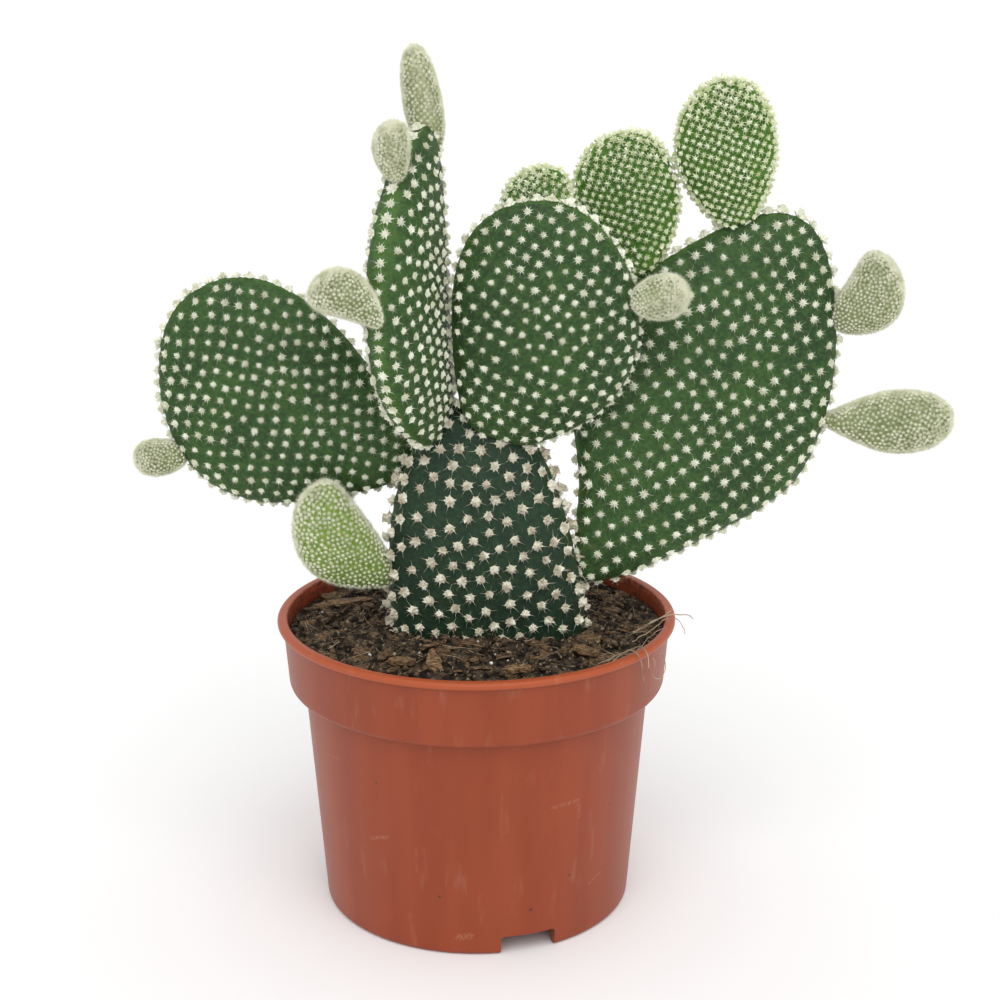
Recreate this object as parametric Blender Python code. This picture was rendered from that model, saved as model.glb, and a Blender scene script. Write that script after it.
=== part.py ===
"""Potted paddle cactus, standing in a collared plastic nursery pot.

Metres, +Z up, seen from the front along +Y. The origin is the middle of the pot's
underside, on the surface that the pot stands on.
"""

from math import atan2, cos, exp, pi, radians, remainder, sin, sqrt
from random import Random

import bmesh
import bpy
from mathutils import Matrix, Vector

# ---- driving dimensions -------------------------------------------------------------

CLEARANCE = 0.0003          # left between pieces that touch
SAME_POINT = 1e-6

# Pot
POT_HEIGHT = 0.0905
RIM_DIAMETER = 0.120
LIP_HEIGHT = 0.0023
LIP_OVERHANG = 0.0016       # lip beyond the collar's wall
COLLAR_TOP_DIAMETER = RIM_DIAMETER - 2 * LIP_OVERHANG
COLLAR_HEIGHT = 0.0210      # rim to the collar's lower edge
COLLAR_DRAFT = 0.0015       # how far the collar's wall leans in, top to bottom
COLLAR_STEP = 0.0047        # collar's lower edge beyond the body
BASE_DIAMETER = 0.0938
WALL = 0.0014
EDGE_ROUND = 0.0013         # rounding of the collar's and the base's lower edges
FLOOR_RISE = 0.0058         # drained part of the floor above the ground
FOOT_RAMP = 0.0024          # run of the slopes between the floor and its feet
CENTRE_FOOT_DIAMETER = 0.030
FOOT_RING_WIDTH = 0.0030
DRAIN_HOLES = 6
DRAIN_HOLE_DIAMETER = 0.007
DRAIN_DRILL_LENGTH = 0.0084
FOOT_NOTCHES = 3
FOOT_NOTCH_WIDTH = 0.0167
FIRST_NOTCH_ANGLE = 19.4    # degrees to the right of the front
POT_STEPS = 60

# Soil
SOIL_DROP = 0.0050          # rim to the soil at the wall
SOIL_MOUND = 0.0022         # rise of the soil towards the plant
SOIL_WAVE = 0.0005          # half height of the unevenness
SOIL_WAVE_LENGTHS = (0.033, 0.039, 0.070, 0.025)
SOIL_RINGS = 7
SOIL_STEPS = 40

# Pads. Each grows from a point on its parent's margin, given by an angle round the
# parent's outline from its tip, clockwise, and by how far that point lies towards the
# parent's front face (0 on the margin, 1 on the face). lean tips the pad clockwise,
# pitch tips it forwards and turn rotates it about its own length, in degrees. sink is
# how deep its base would reach into the parent before it is fitted to it. taper widens
# the tip and narrows the base, sway bows the pad sideways, and fullness squares its
# base and its tip, where 2 is round. corners is a slight squareness of the outline, and
# bulges are places on it, in degrees from the tip, that swell or sink by a share.
FACE_POWER = 2.6            # how flat a pad's faces are along its length
SECTION_POWER = 2.3         # the same across its width
CORNERS = 4
BULGE_SPREAD = 0.5          # radians round the outline
PAD_STEPS = (20, 14)        # round a pad, and along it
BUD_STEPS = (14, 10)

BASE_PAD = dict(
    foot=(0.0098, -0.0030, POT_HEIGHT - 0.0379), lean=-7.1, pitch=0, turn=0,
    length=0.1040, width=0.0568, thickness=0.0270, taper=-0.16, sway=-0.0015, fullness=(2.15, 2.32),
    bulges=((-40, -0.014), (40, 0.025)),
)
PADS = {
    "left_pad": dict(
        parent="base_pad", at=-44.6, front=-0.35, sink=0.003, lean=-58.0, pitch=-3, turn=0,
        length=0.0846, width=0.0598, thickness=0.0150, taper=0.34, sway=-0.0086,
        fullness=(1.89, 1.90), corners=(0.021, -7),
    ),
    "narrow_pad": dict(
        parent="base_pad", at=-22.7, front=0.3, sink=0.004, lean=-1.0, pitch=-2, turn=68,
        length=0.0914, width=0.0413, thickness=0.0150, taper=-0.26, sway=-0.0143,
        fullness=(2.16, 2.07),
    ),
    "centre_pad": dict(
        parent="base_pad", at=32.0, front=0.4, sink=0.003, lean=5.9, pitch=6, turn=0,
        length=0.0713, width=0.0526, thickness=0.0160, taper=0.05, sway=0.0057,
        fullness=(2.38, 2.43), corners=(0.036, 11),
    ),
    "right_pad": dict(
        parent="base_pad", at=94.0, front=-0.1, sink=0.003, lean=33.4, pitch=-7, turn=0,
        length=0.1254, width=0.0775, thickness=0.0170, taper=-0.07, sway=0.0003,
        fullness=(1.15, 1.90), corners=(0.038, -15),
        bulges=((-75, 0.106), (-110, -0.100), (-145, -0.100)),
    ),
    "upper_back_pad": dict(
        parent="centre_pad", at=-0.2, front=-0.9, sink=0.002, lean=-1.3, pitch=-14, turn=0,
        length=0.0270, width=0.0177, thickness=0.0090, taper=0.19, sway=-0.0031,
        fullness=(2.11, 2.31),
    ),
    "upper_right_pad": dict(
        parent="right_pad", at=-33.3, front=0.0, sink=0.003, lean=-6.8, pitch=2, turn=0,
        length=0.0433, width=0.0279, thickness=0.0110, taper=0.19, sway=-0.0014,
        fullness=(1.61, 1.90),
    ),
    "upper_middle_pad": dict(
        parent="right_pad", at=-63.9, front=-0.1, sink=0.003, lean=-7.9, pitch=-6, turn=0,
        length=0.0434, width=0.0297, thickness=0.0115, taper=0.20, sway=-0.0014,
        fullness=(1.45, 1.97),
    ),
}
BUDS = {
    "far_left_bud": dict(
        parent="left_pad", at=-61.1, front=0.0, sink=0.0015, lean=-93.0, pitch=8, turn=0,
        length=0.0147, width=0.0096, thickness=0.0090, taper=0.17, sway=-0.0002, fullness=(2.10, 2.16),
    ),
    "lower_left_bud": dict(
        parent="base_pad", at=-87.8, front=0.15, sink=0.002, lean=-35.6, pitch=9, turn=0,
        length=0.0384, width=0.0222, thickness=0.0130, taper=0.05, sway=-0.0059,
        fullness=(1.39, 2.27),
    ),
    "centre_left_bud": dict(
        parent="narrow_pad", at=-94.4, front=0.0, sink=0.0015, lean=-57.1, pitch=12, turn=0,
        length=0.0208, width=0.0107, thickness=0.0110, taper=0.52, sway=0.0025,
        fullness=(2.12, 2.40),
    ),
    "top_left_small_bud": dict(
        parent="narrow_pad", at=-43.3, front=0.0, sink=0.0015, lean=-3.3, pitch=14, turn=0,
        length=0.0157, width=0.0088, thickness=0.0110, taper=0.26, sway=-0.0012,
        fullness=(1.91, 2.15),
    ),
    "top_left_tall_bud": dict(
        parent="narrow_pad", at=31.2, front=0.0, sink=0.0015, lean=-10.1, pitch=-4, turn=0,
        length=0.0294, width=0.0098, thickness=0.0105, taper=-0.10, sway=-0.0002,
        fullness=(2.05, 2.20),
    ),
    "centre_right_bud": dict(
        parent="centre_pad", at=75.0, front=0.1, sink=0.0015, lean=77.0, pitch=22, turn=0,
        length=0.0155, width=0.0114, thickness=0.0120, taper=0.20, sway=0.0002, fullness=(2.05, 2.09),
    ),
    "right_bud": dict(
        parent="right_pad", at=40.9, front=0.0, sink=0.0015, lean=31.9, pitch=5, turn=0,
        length=0.0249, width=0.0170, thickness=0.0125, taper=-0.00, sway=0.0051,
        fullness=(2.10, 2.29),
    ),
    "far_right_bud": dict(
        parent="right_pad", at=68.9, front=0.0, sink=0.0015, lean=89.2, pitch=4, turn=0,
        length=0.0383, width=0.0172, thickness=0.0130, taper=0.39, sway=0.0006,
        fullness=(1.31, 1.93),
    ),
}

# Skins by age: colour and roughness
SKINS = {
    "old_skin": ((0.012, 0.040, 0.022), 0.60),
    "mature_skin": ((0.030, 0.095, 0.035), 0.60),
    "fresh_skin": ((0.060, 0.190, 0.030), 0.62),
    "bud_skin": ((0.300, 0.360, 0.120), 0.70),
}
OLD_PADS = ("base_pad",)
MATURE_PADS = ("left_pad", "narrow_pad", "centre_pad", "right_pad")

# Bark chips on the soil: place from the pot's axis, turn in degrees, and size
CHIPS = {
    "bark_chip_front": dict(
        place=(-0.0115, -0.0390), turn=75, tilt=-30, size=(0.0120, 0.0045, 0.0030),
    ),
    "bark_chip_left": dict(
        place=(-0.0420, 0.0170), turn=12, tilt=-3, size=(0.0190, 0.0055, 0.0024),
    ),
    "bark_chip_right": dict(
        place=(0.0325, -0.0270), turn=-15, tilt=12, size=(0.0080, 0.0060, 0.0040),
    ),
    "bark_chip_front_right": dict(
        place=(0.0120, -0.0400), turn=20, tilt=-6, size=(0.0085, 0.0050, 0.0032),
    ),
    "bark_chip_front_left": dict(
        place=(-0.0210, -0.0350), turn=-8, tilt=6, size=(0.0075, 0.0060, 0.0030),
    ),
}
CHIP_LUMPS = 0.12           # unevenness, as a share of the chip
CHIP_STAND = 0.35           # its middle above the soil, as a share of its thickness

# Dry straw lying on the soil and hanging over the rim. Each strand starts on the soil at
# an angle in degrees to the right of the front and a distance inside the rim, then passes
# its stops: the angle, and how far beyond the rim and above it.
STRAW_DIAMETER = 0.0006
STRAW = {
    "straw_long": dict(start=(44, 0.0095), stops=(
        (48.0, -0.0030, 0.0011), (49.5, -0.0006, 0.0012), (50.3, 0.0011, -0.0012),
        (51.0, 0.0012, -0.0060), (52.8, 0.0016, -0.0112),
    )),
    "straw_loop": dict(start=(49, 0.0085), stops=(
        (52.0, -0.0030, 0.0012), (53.2, -0.0006, 0.0014), (53.8, 0.0012, -0.0012),
        (54.6, 0.0013, -0.0060), (58.2, 0.0014, -0.0091), (61.6, 0.0014, -0.0099),
        (64.0, 0.0014, -0.0082), (63.2, 0.0015, -0.0050), (60.2, 0.0013, -0.0020),
    )),
    "straw_short": dict(start=(78, 0.0125), stops=(
        (80.0, -0.0060, 0.0006), (82.0, -0.0024, 0.0016), (84.0, 0.0010, 0.0012),
        (86.0, 0.0034, 0.0000), (87.0, 0.0052, -0.0016),
    )),
}
STRAW_POINTS = 20


# ---- tools --------------------------------------------------------------------------

def clear_scene():
    for thing in list(bpy.data.objects):
        bpy.data.objects.remove(thing, do_unlink=True)


def material(name, colour, roughness):
    """A Principled material without metal."""
    made = bpy.data.materials.new(name)
    made.use_nodes = True
    shader = made.node_tree.nodes["Principled BSDF"]
    shader.inputs["Base Color"].default_value = (*colour, 1.0)
    shader.inputs["Roughness"].default_value = roughness
    shader.inputs["Metallic"].default_value = 0.0
    return made


def add_object(name, shape, finish=None):
    """A smooth-shaded object from a bmesh, with its faces pointing out."""
    bmesh.ops.recalc_face_normals(shape, faces=shape.faces)
    mesh = bpy.data.meshes.new(name)
    shape.to_mesh(mesh)
    shape.free()
    mesh.shade_smooth()
    mesh.set_sharp_from_angle(angle=radians(40))
    made = bpy.data.objects.new(name, mesh)
    bpy.context.scene.collection.objects.link(made)
    if finish:
        mesh.materials.append(finish)
    return made


def make_cutter(cutter):
    cutter.hide_render = True
    cutter.display_type = "WIRE"


def cut(body, cutter):
    """Take the cutter's shape out of the body."""
    make_cutter(cutter)
    boolean = body.modifiers.new("clear of " + cutter.name, "BOOLEAN")
    boolean.operation = "DIFFERENCE"
    boolean.solver = "EXACT"
    boolean.object = cutter


def arc(centre, radius, start, end, steps):
    """Points (r, z) round a quarter or half turn, in degrees from +r towards +z."""
    angles = [radians(start + (end - start) * i / steps) for i in range(steps + 1)]
    return [(centre[0] + radius * cos(a), centre[1] + radius * sin(a)) for a in angles]


def turned(profile, steps):
    """A closed solid from a profile that starts and ends on the axis."""
    shape = bmesh.new()
    points = [shape.verts.new((r, 0, z)) for r, z in profile]
    edges = [shape.edges.new(pair) for pair in zip(points, points[1:])]
    bmesh.ops.spin(
        shape, geom=points + edges, cent=(0, 0, 0), axis=(0, 0, 1),
        angle=2 * pi, steps=steps, use_merge=True, use_duplicate=False,
    )
    bmesh.ops.remove_doubles(shape, verts=shape.verts, dist=SAME_POINT)
    return shape


def on_circle(radius, angle, height=0.0):
    """A point at an angle in degrees to the right of the front."""
    return Vector((radius * sin(radians(angle)), -radius * cos(radians(angle)), height))


# ---- pot ----------------------------------------------------------------------------

COLLAR_EDGE = POT_HEIGHT - COLLAR_HEIGHT
COLLAR_BOTTOM_RADIUS = COLLAR_TOP_DIAMETER / 2 - COLLAR_DRAFT
BODY_TOP_RADIUS = COLLAR_BOTTOM_RADIUS - COLLAR_STEP
BASE_RADIUS = BASE_DIAMETER / 2
INNER_FLOOR = FLOOR_RISE + WALL


def body_radius(height):
    """Outside of the pot's body below the collar."""
    return BASE_RADIUS + (BODY_TOP_RADIUS - BASE_RADIUS) * height / COLLAR_EDGE


def collar_radius(height):
    """Outside of the collar's wall."""
    share = (height - COLLAR_EDGE) / (POT_HEIGHT - COLLAR_EDGE)
    return COLLAR_BOTTOM_RADIUS + COLLAR_DRAFT * share


def pot_profile():
    """Underside, outside, lip, inside and floor, from the axis round to the axis."""
    lip = LIP_HEIGHT / 2
    foot_inside = BASE_RADIUS - FOOT_RING_WIDTH
    centre_foot = CENTRE_FOOT_DIAMETER / 2
    under = [(0, 0), (centre_foot, 0), (centre_foot + FOOT_RAMP, FLOOR_RISE)]
    under += [(foot_inside - FOOT_RAMP, FLOOR_RISE), (foot_inside, 0)]
    outside = arc((BASE_RADIUS - EDGE_ROUND, EDGE_ROUND), EDGE_ROUND, -90, 0, 3)
    outside += [(body_radius(COLLAR_EDGE), COLLAR_EDGE)]
    outside += arc(
        (COLLAR_BOTTOM_RADIUS - EDGE_ROUND, COLLAR_EDGE + EDGE_ROUND), EDGE_ROUND, -90, 0, 3
    )
    outside += [(collar_radius(POT_HEIGHT - LIP_HEIGHT), POT_HEIGHT - LIP_HEIGHT)]
    rim = arc((RIM_DIAMETER / 2 - lip, POT_HEIGHT - lip), lip, -90, 90, 6)
    inner_lip = RIM_DIAMETER / 2 - LIP_OVERHANG - WALL
    rim += arc((inner_lip + lip / 2, POT_HEIGHT - lip / 2), lip / 2, 90, 180, 2)
    inside = [(collar_radius(COLLAR_EDGE + WALL) - WALL, COLLAR_EDGE + WALL)]
    inside += [(body_radius(COLLAR_EDGE - WALL) - WALL, COLLAR_EDGE - WALL)]
    inside += [(body_radius(INNER_FLOOR) - WALL, INNER_FLOOR)]
    inside += [(centre_foot + FOOT_RAMP - WALL, INNER_FLOOR), (centre_foot - WALL, WALL)]
    inside += [(0, WALL)]
    return under + outside + rim + inside


def drain_cutter():
    """Upright drills through the raised part of the floor."""
    middle = (CENTRE_FOOT_DIAMETER / 2 + BASE_RADIUS - FOOT_RING_WIDTH) / 2
    shape = bmesh.new()
    for i in range(DRAIN_HOLES):
        place = on_circle(middle, 360 * i / DRAIN_HOLES, FLOOR_RISE)
        bmesh.ops.create_cone(
            shape, cap_ends=True, segments=16, depth=DRAIN_DRILL_LENGTH,
            radius1=DRAIN_HOLE_DIAMETER / 2, radius2=DRAIN_HOLE_DIAMETER / 2,
            matrix=Matrix.Translation(place),
        )
    return add_object("drain_cutter", shape)


def notch_cutter():
    """Blocks that open the foot ring, as high as the floor stands off the ground."""
    shape = bmesh.new()
    reach = 4 * FOOT_RING_WIDTH
    for i in range(FOOT_NOTCHES):
        angle = FIRST_NOTCH_ANGLE + 360 * i / FOOT_NOTCHES
        place = Matrix.Translation(on_circle(BASE_RADIUS - FOOT_RING_WIDTH / 2, angle))
        block = Matrix.Diagonal((FOOT_NOTCH_WIDTH, reach, 2 * FLOOR_RISE, 1))
        bmesh.ops.create_cube(
            shape, size=1, matrix=place @ Matrix.Rotation(radians(angle), 4, "Z") @ block
        )
    return add_object("notch_cutter", shape)


def make_pot():
    finish = material("terracotta_plastic", (0.38, 0.085, 0.035), 0.42)
    pot = add_object("pot", turned(pot_profile(), POT_STEPS), finish)
    cut(pot, drain_cutter())
    cut(pot, notch_cutter())


# ---- pads ---------------------------------------------------------------------------

def signed_power(value, power):
    return abs(value) ** power * (1 if value >= 0 else -1)


def pad_point(pad, direction):
    """Where a direction of the unit sphere lands on a pad's skin, base at the origin."""
    x, y, z = direction
    z = max(-1.0, min(1.0, z))
    at_base, at_tip = pad["fullness"]
    power = at_base + (at_tip - at_base) * (1 + z) / 2
    along = signed_power(z, 2 / power)
    ring = sqrt(1 - z * z)
    across, through = (x / ring, y / ring) if ring > SAME_POINT else (0.0, 0.0)
    half_width = ring ** (2 / power) * (1 + pad["taper"] * along)
    half_thickness = sqrt(max(0.0, 1 - abs(along) ** FACE_POWER))
    across = half_width * signed_power(across, 2 / SECTION_POWER)
    through = half_thickness * signed_power(through, 2 / SECTION_POWER)
    depth, first = pad.get("corners", (0.0, 0))
    angle = atan2(across, along)
    grow = 1 + depth * cos(CORNERS * (angle - radians(first)))
    for at, share in pad.get("bulges", ()):
        away = remainder(angle - radians(at), 2 * pi) / BULGE_SPREAD
        grow += share * exp(-away * away)
    return Vector((
        pad["width"] / 2 * across * grow + pad["sway"] * (1 - along * along),
        pad["thickness"] / 2 * through,
        pad["length"] / 2 * (1 + along * grow),
    ))


def margin_point(pad, at, front):
    """A point on the outline, moved round the pad's thickness towards its front."""
    angle = radians(at)
    rim = Vector((sin(angle), 0, cos(angle)))
    tilted = rim * sqrt(1 - front * front) + Vector((0, -front, 0))
    return pad_point(pad, tilted.normalized())


def heading(pad):
    """Turns a pad's own frame into the plant's."""
    lean = Matrix.Rotation(radians(pad["lean"]), 4, "Y")
    pitch = Matrix.Rotation(radians(pad["pitch"]), 4, "X")
    turn = Matrix.Rotation(radians(pad["turn"]), 4, "Z")
    return lean @ pitch @ turn


def pad_shape(pad, place, steps, swell=0.0):
    """A flattened, rounded body, its skin moved out by swell."""
    shape = bmesh.new()
    bmesh.ops.create_uvsphere(shape, u_segments=steps[0], v_segments=steps[1], radius=1)
    for point in shape.verts:
        point.co = place @ pad_point(pad, point.co)
    bmesh.ops.recalc_face_normals(shape, faces=shape.faces)
    shape.normal_update()
    outward = {point: point.normal.copy() for point in shape.verts}
    for point, normal in outward.items():
        point.co += normal * swell
    return shape


def skin_look(name):
    """A pad's skin by its age: the material's name, colour and roughness."""
    if name in OLD_PADS:
        age = "old_skin"
    elif name in MATURE_PADS:
        age = "mature_skin"
    elif name in PADS:
        age = "fresh_skin"
    else:
        age = "bud_skin"
    return age, *SKINS[age]


def make_pads():
    """The base pad and everything that grows on it, each fitted to its parent.

    Returns the shape that keeps the soil clear of the base pad.
    """
    places = {}
    clearances = {}
    specs = {"base_pad": BASE_PAD, **PADS, **BUDS}
    for name, pad in specs.items():
        steps = BUD_STEPS if name in BUDS else PAD_STEPS
        if "foot" in pad:
            root = Vector(pad["foot"])
        else:
            parent = specs[pad["parent"]]
            root = places[pad["parent"]] @ margin_point(parent, pad["at"], pad["front"])
            root -= heading(pad) @ Vector((0, 0, pad["sink"]))
        places[name] = Matrix.Translation(root) @ heading(pad)
        skin = material(*skin_look(name))
        body = add_object(name, pad_shape(pad, places[name], steps), skin)
        grown = pad_shape(pad, places[name], steps, CLEARANCE)
        clearances[name] = add_object(name + "_clearance", grown)
        make_cutter(clearances[name])
        if "parent" in pad:
            cut(body, clearances[pad["parent"]])
    return clearances["base_pad"]


# ---- soil ---------------------------------------------------------------------------

def soil_height(x, y):
    """The soil's surface: a low mound with a few soft waves."""
    reach = RIM_DIAMETER / 2
    share = min(1.0, sqrt(x * x + y * y) / reach)
    turns = [2 * pi / length for length in SOIL_WAVE_LENGTHS]
    wave = sin(x * turns[0] + 1) * cos(y * turns[1]) + sin(x * turns[2] - y * turns[3])
    wave *= SOIL_WAVE
    return POT_HEIGHT - SOIL_DROP + SOIL_MOUND * (1 - share * share) + wave * (1 - share ** 6)


def soil_wall(height):
    """The soil's outer radius at a height, clear of the pot's inside."""
    if height > COLLAR_EDGE + WALL:
        return collar_radius(height) - WALL - CLEARANCE
    return body_radius(height) - WALL - CLEARANCE


def soil_shape(rise=0.0):
    """The pot's filling, its top raised by rise."""
    floor = INNER_FLOOR + CLEARANCE
    ledge = COLLAR_EDGE - WALL
    shoulder = COLLAR_EDGE + WALL + CLEARANCE
    top_edge = POT_HEIGHT - SOIL_DROP
    reach = soil_wall(top_edge)
    profile = [(0, floor), (soil_wall(floor), floor), (soil_wall(ledge), ledge)]
    profile += [(soil_wall(shoulder) - WALL, shoulder), (reach, top_edge)]
    profile += [(reach * (1 - i / SOIL_RINGS), top_edge) for i in range(1, SOIL_RINGS + 1)]
    shape = turned(profile, SOIL_STEPS)
    for point in shape.verts:
        if point.co.z > top_edge - SAME_POINT:
            point.co.z = soil_height(point.co.x, point.co.y) + rise
    bmesh.ops.triangulate(shape, faces=shape.faces)
    return shape


def make_soil(plant_clearance):
    soil = add_object("soil", soil_shape(), material("peat_soil", (0.045, 0.027, 0.016), 0.95))
    cut(soil, plant_clearance)


def make_chips():
    """Flat uneven chips, half bedded in the soil's surface."""
    finish = material("pine_bark", (0.20, 0.115, 0.055), 0.85)
    bed = add_object("soil_clearance", soil_shape(CLEARANCE))
    make_cutter(bed)
    for seed, (name, chip) in enumerate(CHIPS.items()):
        random = Random(seed)
        shape = bmesh.new()
        bmesh.ops.create_icosphere(shape, subdivisions=2, radius=0.5)
        for point in shape.verts:
            point.co *= 1 + random.uniform(-CHIP_LUMPS, CHIP_LUMPS)
        x, y = chip["place"]
        place = Matrix.Translation((x, y, soil_height(x, y) + chip["size"][2] * CHIP_STAND))
        place @= Matrix.Rotation(radians(chip["turn"]), 4, "Z")
        place @= Matrix.Rotation(radians(chip["tilt"]), 4, "Y")
        shape.transform(place @ Matrix.Diagonal((*chip["size"], 1)))
        cut(add_object(name, shape, finish), bed)


def smooth_route(stops, count):
    """Points at even steps along a Catmull-Rom curve through the stops."""
    ends = [2 * stops[0] - stops[1], *stops, 2 * stops[-1] - stops[-2]]
    route = []
    for i in range(count):
        position = i * (len(stops) - 1) / (count - 1)
        part = min(int(position), len(stops) - 2)
        t = position - part
        a, b, c, d = ends[part:part + 4]
        route.append(
            0.5 * (2 * b + (c - a) * t + (2 * a - 5 * b + 4 * c - d) * t * t
                   + (3 * b - a - 3 * c + d) * t * t * t)
        )
    return route


def make_straw():
    finish = material("dry_straw", (0.55, 0.42, 0.24), 0.7)
    half = STRAW_DIAMETER / 2
    rim = RIM_DIAMETER / 2
    for name, strand in STRAW.items():
        angle, inside = strand["start"]
        first = on_circle(rim - inside, angle)
        first.z = soil_height(first.x, first.y) + half + 2 * CLEARANCE
        stops = [first] + [
            on_circle(rim + out, angle, POT_HEIGHT + up) for angle, out, up in strand["stops"]
        ]
        curve = bpy.data.curves.new(name, "CURVE")
        curve.dimensions = "3D"
        curve.bevel_depth = half
        curve.bevel_resolution = 2
        curve.use_fill_caps = True
        spline = curve.splines.new("POLY")
        spline.points.add(STRAW_POINTS - 1)
        for point, place in zip(spline.points, smooth_route(stops, STRAW_POINTS)):
            point.co = (*place, 1)
        curve.materials.append(finish)
        bpy.context.scene.collection.objects.link(bpy.data.objects.new(name, curve))


clear_scene()
make_pot()
make_soil(make_pads())
make_chips()
make_straw()
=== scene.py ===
"""Looks of a potted paddle cactus: pot, soil and litter, pads and buds with their wool.

Metres, +Z up, front towards -Y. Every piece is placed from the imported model's own boxes.
"""

from math import cos, hypot, pi, radians, sin, sqrt
from random import Random

import bmesh
import bpy
import numpy as np
from mathutils import Matrix, Vector, kdtree, noise
from mathutils.bvhtree import BVHTree


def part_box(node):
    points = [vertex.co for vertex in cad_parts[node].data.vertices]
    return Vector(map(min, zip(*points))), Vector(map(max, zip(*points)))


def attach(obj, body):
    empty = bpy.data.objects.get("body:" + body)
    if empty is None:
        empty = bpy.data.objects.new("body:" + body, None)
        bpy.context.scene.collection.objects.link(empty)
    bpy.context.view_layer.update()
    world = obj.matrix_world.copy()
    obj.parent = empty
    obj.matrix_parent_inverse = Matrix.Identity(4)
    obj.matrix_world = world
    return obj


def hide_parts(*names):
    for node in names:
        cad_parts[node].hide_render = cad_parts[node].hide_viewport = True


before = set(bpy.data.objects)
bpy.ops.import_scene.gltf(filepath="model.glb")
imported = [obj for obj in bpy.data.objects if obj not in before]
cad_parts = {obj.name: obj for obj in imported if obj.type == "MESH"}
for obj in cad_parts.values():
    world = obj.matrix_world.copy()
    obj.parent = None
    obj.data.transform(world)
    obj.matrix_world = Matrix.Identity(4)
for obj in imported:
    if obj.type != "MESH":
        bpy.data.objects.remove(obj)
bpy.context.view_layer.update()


# ---- Nursery pot ----------------------------------------------------------------------
# One thin moulding of terracotta-coloured polypropylene with a rolled lip, a straight
# collar and a tapered body. It stands on a notched foot ring and a central foot. It has
# a satin skin with faint drawn bands, scuffs, dust and a few specks of soil.

RIM_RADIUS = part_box("pot")[1].x
POT_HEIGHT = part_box("pot")[1].z
LIP_HEIGHT = 0.0023
LIP_OVERHANG = 0.0016
COLLAR_HEIGHT = 0.0210
COLLAR_DRAFT = 0.0015
COLLAR_STEP = 0.0047
COLLAR_ROUND = 0.0021
BASE_RADIUS = 0.0469
BASE_ROUND = 0.0016
WALL = 0.0014
FLOOR_RISE = 0.0058
FOOT_RAMP = 0.0024
CENTRE_FOOT_RADIUS = 0.015
FOOT_RING_WIDTH = 0.0030
DRAIN_HOLES = 6
DRAIN_HOLE_RADIUS = 0.0035
FOOT_NOTCHES = 3
FOOT_NOTCH_WIDTH = 0.0167
FIRST_NOTCH_ANGLE = 19.4
POT_STEPS = 192

COLLAR_EDGE = POT_HEIGHT - COLLAR_HEIGHT
COLLAR_TOP_RADIUS = RIM_RADIUS - LIP_OVERHANG
COLLAR_BOTTOM_RADIUS = COLLAR_TOP_RADIUS - COLLAR_DRAFT
BODY_TOP_RADIUS = COLLAR_BOTTOM_RADIUS - COLLAR_STEP


class Value:
    """A socket's output, with sums that add Math nodes to the same finish."""

    def __init__(self, finish, socket):
        self.finish, self.socket = finish, socket

    def math(self, operation, *values):
        settings = {"operation": operation}
        return self.finish.node("ShaderNodeMath", settings, dict(enumerate(values)))

    def __add__(self, other):
        return self.math("ADD", self, other)

    def __sub__(self, other):
        return self.math("SUBTRACT", self, other)

    def __rsub__(self, other):
        return self.math("SUBTRACT", other, self)

    def __mul__(self, other):
        return self.math("MULTIPLY", self, other)

    def __pow__(self, other):
        return self.math("POWER", self, other)

    __radd__ = __add__
    __rmul__ = __mul__


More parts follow.
